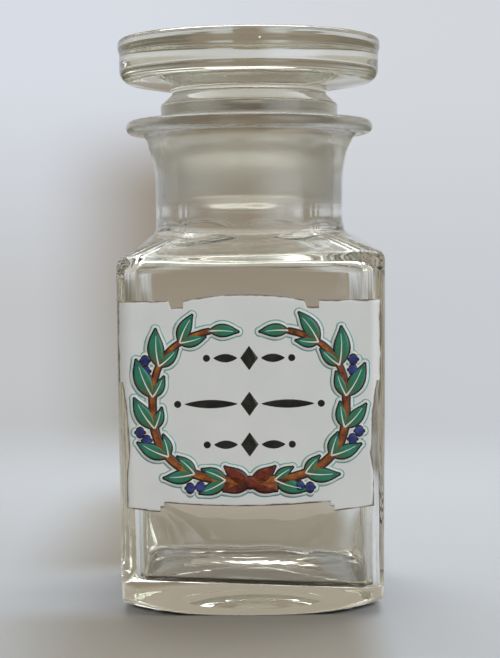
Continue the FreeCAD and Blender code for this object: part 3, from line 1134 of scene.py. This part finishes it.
# The room by direction: turn to the right in radians, and rise as the sine of the angle
WALL_ACROSS = (-0.14, 0.14)
HIGH_WALL = ((0.69, 0.72, 0.785), (0.655, 0.68, 0.71))      # at the left and at the right
MID_WALL = ((0.54, 0.55, 0.56), (0.58, 0.605, 0.635))
LOW_WALL = ((0.42, 0.425, 0.435), (0.475, 0.497, 0.52))
LOW_TO_MID = (-0.24, -0.05)
MID_TO_HIGH = (-0.05, 0.12)
LOW_TO_UPPER = (-0.06, 0.0)
LOW_SIDES = (0.145, 0.23)
LOW_SIDES_TONE = (0.18, 0.165, 0.125)
HIGH_SIDES = (0.7, 1.5)
HIGH_SIDES_TONE = (0.32, 0.285, 0.235)
# Painted shade of the bottle, low on the wall
WALL_SHADE_LEFT = (-0.125, -0.035)
WALL_SHADE_RIGHT = (0.064, 0.034)       # low and high on the wall
WALL_SHADE_STEP = (-0.005, 0.02)
WALL_SHADE_SOFTNESS = (0.0, 0.016)
WALL_SHADE_TOP = (0.03, 0.085)
WALL_SHADE_WARMING = (-0.08, -0.01)
WALL_SHADE_TONES = ((0.30, 0.28, 0.23), (0.30, 0.255, 0.20))
CEILING_START = (0.155, 0.24)
CEILING_TONE = (0.55, 0.53, 0.48)
WINDOW_WAY = (0.62, -0.715, 0.323)
WINDOW_SPREAD = (0.79, 1.0)
WINDOW_TONE = (2.3, 2.5, 2.6)

# Painted shade card: a glowing sheet behind the bottle in the tone of its shade, that only the glass
# shows
CARD_DEPTH = 0.13
CARD_LEFT = -0.11
CARD_RIGHT = 0.07
CARD_HEIGHT = 0.16
CARD_TONES = ((0.45, 0.41, 0.35), (0.30, 0.255, 0.20))      # low and high on the card
CARD_DARKENING = (0.045, 0.085)
CARD_SHADE_LEFT = (-0.073, -0.020)
CARD_SHADE_RIGHT = (0.0374, 0.0200)     # low and high on the card
CARD_SHADE_STEP = (0.085, 0.10)
CARD_SHADE_SOFTNESS = (0.0, 0.010)
CARD_SHADE_TOP = (0.108, 0.137)

LAMP_TARGET = np.array([0.0, 0.0, 0.07])


def mix_surface(tree, share, first, second):
    """Surface that goes from one shader to another by a share."""
    mixed = add_node(tree, "ShaderNodeMixShader", {"Fac": share})
    tree.links.new(first, mixed.inputs[1])
    tree.links.new(second, mixed.inputs[2])
    tree.links.new(mixed.outputs["Shader"], tree.nodes["Material Output"].inputs["Surface"])


def floor_paint():
    """Pale matt floor with painted shade: the bottle's soft shadow painted behind and in front of it,
    a painted dark contact shadow where the base stands, and an edge that fades out into the room."""
    material, tree, shader = new_material("pale_floor_painted_shade")
    place = object_place(tree)
    away = add_node(tree, "ShaderNodeVectorMath", {0: place}, operation="LENGTH").outputs["Value"]
    parts = add_node(tree, "ShaderNodeSeparateXYZ", {"Vector": place})
    across, ahead = parts.outputs["X"], parts.outputs["Y"]
    from_left = rises(tree, across, SHADE_LEFT)
    # Painted shade of the bottle behind it and in front of it
    behind = product(tree, from_left, falls(tree, across, BEHIND_RIGHT),
                     rises(tree, ahead, BEHIND_NEAR), falls(tree, ahead, BEHIND_FAR))
    in_front = product(tree, from_left, falls(tree, across, FRONT_RIGHT), falls(tree, ahead, FRONT_NEAR))
    from_middle = combine(tree, "MAXIMUM", combine(tree, "ABSOLUTE", across),
                          combine(tree, "ABSOLUTE", ahead))
    # Painted contact shadow: a dark square ring where the base stands
    contact_shade = product(tree, rises(tree, from_middle, TOUCH_INNER),
                       falls(tree, from_middle, TOUCH_OUTER), falls(tree, away, TOUCH_ROUND))
    tone = blend_colours(tree, behind, FLOOR_TONE, BEHIND_SHADE_TONE)
    tone = blend_colours(tree, in_front, tone, FRONT_SHADE_TONE)
    tone = blend_colours(tree, contact_shade, tone, CONTACT_SHADE_TONE)
    tree.links.new(tone, shader.inputs["Base Color"])
    shader.inputs["Roughness"].default_value = 0.9
    clear = tree.nodes.new("ShaderNodeBsdfTransparent")
    mix_surface(tree, rises(tree, away, FLOOR_FADE), shader.outputs["BSDF"], clear.outputs["BSDF"])
    return material


def painted_shade_card():
    """Painted shade: a soft glow in the tone of the bottle's shade behind it, clear at its edges."""
    material, tree, _ = new_material("painted_shade_glow")
    parts = add_node(tree, "ShaderNodeSeparateXYZ", {"Vector": object_place(tree)})
    across, height = parts.outputs["X"], parts.outputs["Z"]
    tone = blend_colours(tree, rises(tree, height, CARD_DARKENING), *CARD_TONES)
    right_edge = smooth(tree, height, *CARD_SHADE_STEP, *CARD_SHADE_RIGHT)
    past_edge = combine(tree, "SUBTRACT", across, right_edge)
    cover = product(tree, rises(tree, across, CARD_SHADE_LEFT),
                    falls(tree, past_edge, CARD_SHADE_SOFTNESS), falls(tree, height, CARD_SHADE_TOP))
    glow = add_node(tree, "ShaderNodeEmission", {"Color": tone})
    clear = tree.nodes.new("ShaderNodeBsdfTransparent")
    mix_surface(tree, cover, clear.outputs["BSDF"], glow.outputs["Emission"])
    return material


def room_colour(tree):
    """Colour of the room by direction: a pale wall with the bottle's soft shade painted low on it,
    dim sides, a plain ceiling, and a soft window at the front right that isn't seen directly."""
    direction = add_node(tree, "ShaderNodeTexCoord").outputs["Generated"]
    parts = add_node(tree, "ShaderNodeSeparateXYZ", {"Vector": direction})
    across, ahead, upward = (parts.outputs[axis] for axis in "XYZ")
    turn = combine(tree, "ARCTAN2", across, ahead)
    off_axis = combine(tree, "ABSOLUTE", turn)
    rightward = rises(tree, turn, WALL_ACROSS)
    high_wall, mid_wall, low_wall = (blend_colours(tree, rightward, *tones)
                                     for tones in (HIGH_WALL, MID_WALL, LOW_WALL))
    lower = blend_colours(tree, rises(tree, upward, LOW_TO_MID), low_wall, mid_wall)
    lower = blend_colours(tree, rises(tree, off_axis, LOW_SIDES), lower, LOW_SIDES_TONE)
    upper = blend_colours(tree, rises(tree, upward, MID_TO_HIGH), mid_wall, high_wall)
    upper = blend_colours(tree, rises(tree, off_axis, HIGH_SIDES), upper, HIGH_SIDES_TONE)
    backdrop = blend_colours(tree, rises(tree, upward, LOW_TO_UPPER), lower, upper)
    # The bottle's shade, painted low on the wall
    right_edge = smooth(tree, upward, *WALL_SHADE_STEP, *WALL_SHADE_RIGHT)
    past_edge = combine(tree, "SUBTRACT", turn, right_edge)
    shade = product(tree, rises(tree, turn, WALL_SHADE_LEFT),
                    falls(tree, past_edge, WALL_SHADE_SOFTNESS), falls(tree, upward, WALL_SHADE_TOP))
    shade_tone = blend_colours(tree, rises(tree, upward, WALL_SHADE_WARMING), *WALL_SHADE_TONES)
    walls = blend_colours(tree, shade, backdrop, shade_tone)
    room = blend_colours(tree, rises(tree, upward, CEILING_START), walls, CEILING_TONE)
    towards_window = add_node(tree, "ShaderNodeVectorMath", {0: direction, 1: WINDOW_WAY},
                              operation="DOT_PRODUCT").outputs["Value"]
    seen_direct = add_node(tree, "ShaderNodeLightPath").outputs["Is Camera Ray"]
    window = product(tree, rises(tree, towards_window, WINDOW_SPREAD),
                     combine(tree, "SUBTRACT", 1.0, seen_direct))
    return blend_colours(tree, window, room, WINDOW_TONE)


rim = np.linspace(0, 2 * math.pi, FLOOR_RIM_POINTS, endpoint=False)
rim_points = np.stack([FLOOR_REACH * np.cos(rim), FLOOR_REACH * np.sin(rim), 0 * rim - FLOOR_DROP],
                      axis=1)
floor_mesh = bpy.data.meshes.new("pale_floor")
floor_mesh.from_pydata(rim_points.tolist(), [], [list(range(len(rim)))])
floor_mesh.materials.append(floor_paint())
floor = bpy.data.objects.new("pale_floor", floor_mesh)
bpy.context.scene.collection.objects.link(floor)

# The painted shade card, hidden from the camera, from diffuse light and from shadows
card_mesh = bpy.data.meshes.new("shade_card")
card_mesh.from_pydata([(CARD_LEFT, CARD_DEPTH, 0.0), (CARD_RIGHT, CARD_DEPTH, 0.0),
                       (CARD_RIGHT, CARD_DEPTH, CARD_HEIGHT), (CARD_LEFT, CARD_DEPTH, CARD_HEIGHT)],
                      [], [(0, 1, 2, 3)])
card_mesh.materials.append(painted_shade_card())
card = bpy.data.objects.new("shade_card", card_mesh)
bpy.context.scene.collection.objects.link(card)
card.visible_camera = False
card.visible_diffuse = False
card.visible_shadow = False

world = bpy.data.worlds.new("soft_room")
bpy.context.scene.world = world
world.use_nodes = True
background = world.node_tree.nodes["Background"]
world.node_tree.links.new(room_colour(world.node_tree), background.inputs["Color"])
background.inputs["Strength"].default_value = 1.0


def facing(place, target):
    """Turn and place of a lamp that looks from a place at a target."""
    forward = (target - place) / np.linalg.norm(target - place)
    right = np.cross(forward, (0, 0, 1))
    right = right / np.linalg.norm(right)
    up = np.cross(right, forward)
    matrix = np.eye(4)
    matrix[:3] = np.column_stack([right, up, -forward, place])
    return Matrix(matrix.tolist())


def add_lamp(name, place, size, energy, colour):
    """Soft square lamp that looks at the bottle's middle."""
    lamp = bpy.data.lights.new(name, "AREA")
    lamp.shape = "RECTANGLE"
    lamp.size, lamp.size_y = size
    lamp.energy = energy
    lamp.color = colour
    holder = bpy.data.objects.new(name, lamp)
    holder.matrix_world = facing(np.array(place), LAMP_TARGET)
    bpy.context.scene.collection.objects.link(holder)


add_lamp("back_light", (0.09, 0.36, 0.86), (0.90, 0.55), 6.0, (0.88, 0.95, 1.0))

# Camera, fitted to the photograph

IMAGE_HEIGHT = 658
SENSOR = 36.0
focal_pixels = 1764.15
camera_place = np.array([-0.61, -454.03, 87.80]) * MM
camera_yaw = 0.0009
camera_pitch = -0.0438
camera_roll = -0.0080

forward = np.array([math.sin(camera_yaw) * math.cos(camera_pitch),
                    math.cos(camera_yaw) * math.cos(camera_pitch), math.sin(camera_pitch)])
level = np.cross(forward, (0, 0, 1))
level = level / np.linalg.norm(level)
upright = np.cross(level, forward)
right = math.cos(camera_roll) * level + math.sin(camera_roll) * upright
up = math.cos(camera_roll) * upright - math.sin(camera_roll) * level
lens = bpy.data.cameras.new("camera")
lens.sensor_width = SENSOR
lens.lens = focal_pixels / IMAGE_HEIGHT * SENSOR
lens.clip_start = 0.01
camera = bpy.data.objects.new("camera", lens)
placing = np.eye(4)
placing[:3] = np.column_stack([right, up, -forward, camera_place])
camera.matrix_world = Matrix(placing.tolist())
bpy.context.scene.collection.objects.link(camera)
bpy.context.scene.camera = camera
bpy.context.scene.view_settings.view_transform = "Standard"

# Light turns back many times inside thick glass, so its paths are long
light_paths = bpy.context.scene.cycles
light_paths.max_bounces = 32
light_paths.glossy_bounces = 24
light_paths.transmission_bounces = 24
